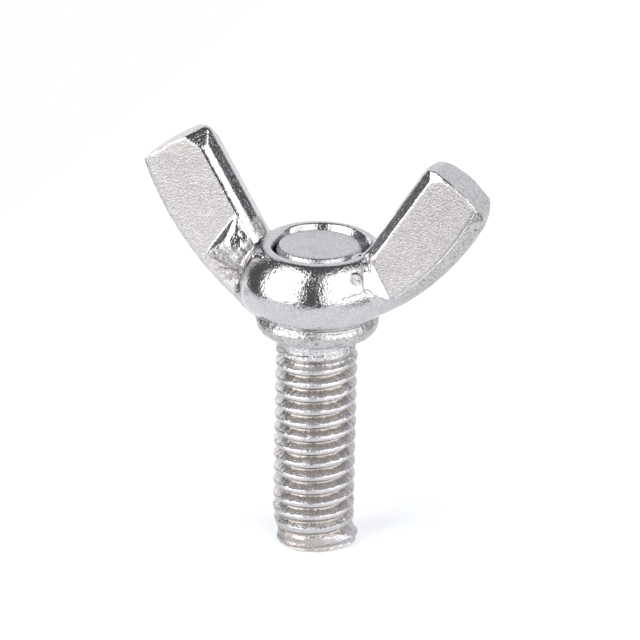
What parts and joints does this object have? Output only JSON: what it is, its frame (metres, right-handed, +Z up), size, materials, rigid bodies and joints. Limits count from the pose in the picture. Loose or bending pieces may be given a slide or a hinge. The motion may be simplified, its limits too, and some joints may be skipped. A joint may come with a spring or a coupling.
{
  "type": "wing screw",
  "caption": "Stainless wing screw: a forged two-wing head with a round hub and collar, pressed onto a fully threaded stud whose flat end shows in the top of the hub.",
  "frame": {"origin": "centre of the collar's underside, the face that clamps the work, on the screw axis", "axes": "+Z up the screw axis towards the wings, wings spread along X, thread pointing down -Z"},
  "size_m": [0.0252, 0.0106, 0.0296],
  "materials": {
    "head_steel": "tumble-polished forged stainless steel, satin on the wing faces",
    "stud_steel": "rolled stainless steel thread with a plain sheared tip"
  },
  "bodies": {
    "root": {"wing_head": "head_steel", "threaded_stud": "stud_steel"}
  },
  "joints": []
}
